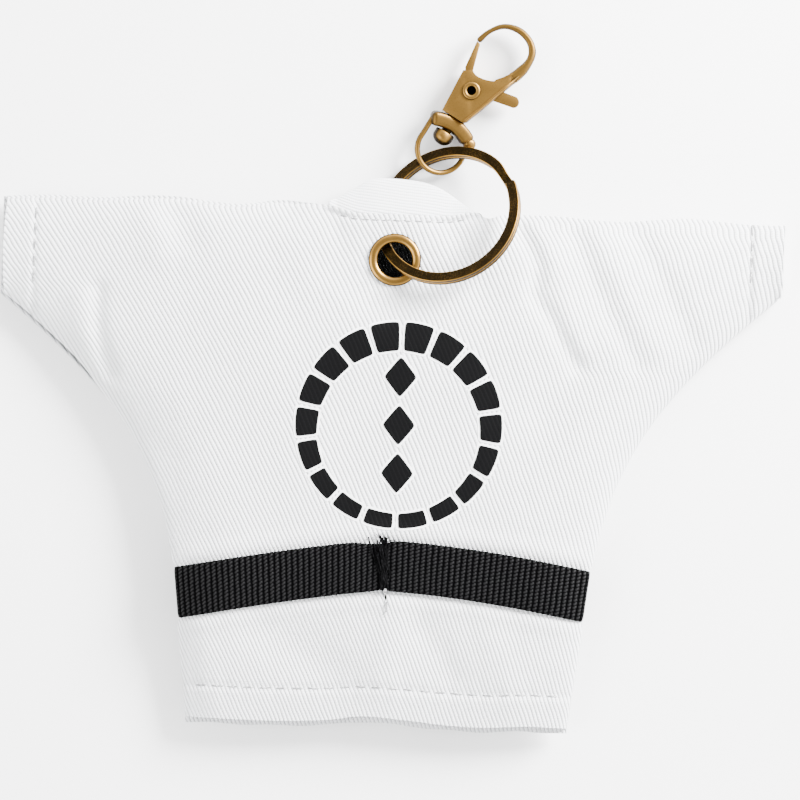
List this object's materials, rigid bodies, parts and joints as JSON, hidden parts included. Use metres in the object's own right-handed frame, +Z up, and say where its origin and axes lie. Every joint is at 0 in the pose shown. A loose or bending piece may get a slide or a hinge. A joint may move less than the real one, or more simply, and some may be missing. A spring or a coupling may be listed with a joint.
{
  "type": "martial arts jacket key ring",
  "caption": "Miniature white cotton martial arts jacket with black webbing belt, hung by an eyelet on a brass split ring with a swivel trigger clasp.",
  "frame": {"origin": "on the surface that the jacket lies on, under the flat of the chest, on the jacket's centre line", "axes": "+X across the back towards the wearer's right cuff, +Y along the back towards the collar, +Z up, out of the jacket's back"},
  "size_m": [0.1568, 0.1425, 0.0169],
  "materials": {
    "cotton": "coarse white cotton twill, matt",
    "webbing": "ribbed black nylon webbing, slight sheen",
    "black_thread": "black sewing thread",
    "pale_thread": "off-white sewing thread",
    "print": "semi-gloss black heat transfer film with a pale edge",
    "antique_brass": "antique brass plating, dark in the recesses and worn golden along the edges",
    "spring_steel": "bright spring wire"
  },
  "bodies": {
    "jacket": {"back_panel": "cotton", "left_front_panel": "cotton", "right_front_panel": "cotton", "collar_band": "cotton", "belt_band": "webbing", "belt_knot": "webbing", "belt_tack": "black_thread", "hem_stitching": "pale_thread", "left_cuff_stitching": "pale_thread", "right_cuff_stitching": "pale_thread", "collar_stitching": "pale_thread", "emblem_ring": "print", "emblem_diamond_lower": "print", "emblem_diamond_middle": "print", "emblem_diamond_upper": "print", "eyelet_barrel": "antique_brass", "eyelet_washer": "antique_brass"},
    "tail_left": {"belt_tail_left": "webbing"},
    "tail_right": {"belt_tail_right": "webbing"},
    "ring": {"split_ring": "antique_brass"},
    "loop": {"swivel_loop": "antique_brass"},
    "hook": {"hook_body": "antique_brass", "swivel_stud": "antique_brass", "gate_rivet": "antique_brass", "gate_spring": "spring_steel"},
    "gate": {"gate_lever": "antique_brass"}
  },
  "joints": [
    {"name": "ring_lift", "type": "hinge", "parent": "jacket", "child": "ring", "pos_m": [0.0004, 0.04, 0.00909], "axis": [-0.0126, -0.9142, 0.405], "range_deg": [0, 115]},
    {"name": "loop_slide", "type": "hinge", "parent": "ring", "child": "loop", "pos_m": [0.01075, 0.04927, 0.0087], "axis": [0.3153, -0.388, -0.866], "range_deg": [-6, 100]},
    {"name": "hook_swivel", "type": "hinge", "parent": "loop", "child": "hook", "pos_m": [0.00917, 0.06531, 0.00336], "axis": [0.5, 0.866, 0], "continuous": true},
    {"name": "gate_open", "type": "hinge", "parent": "hook", "child": "gate", "pos_m": [0.01447, 0.07449, 0.00336], "axis": [0, 0, -1], "range_deg": [0, 26], "stiffness_Nm_per_rad": 0.004, "springref_deg": -22.92},
    {"name": "tail_left_fold", "type": "hinge", "parent": "jacket", "child": "tail_left", "pos_m": [-0.00443, -0.03015, 0], "axis": [0.829, -0.5592, 0], "range_deg": [0, 75]},
    {"name": "tail_right_fold", "type": "hinge", "parent": "jacket", "child": "tail_right", "pos_m": [0.00443, -0.03015, 0], "axis": [0.829, 0.5592, 0], "range_deg": [0, 75]}
  ]
}
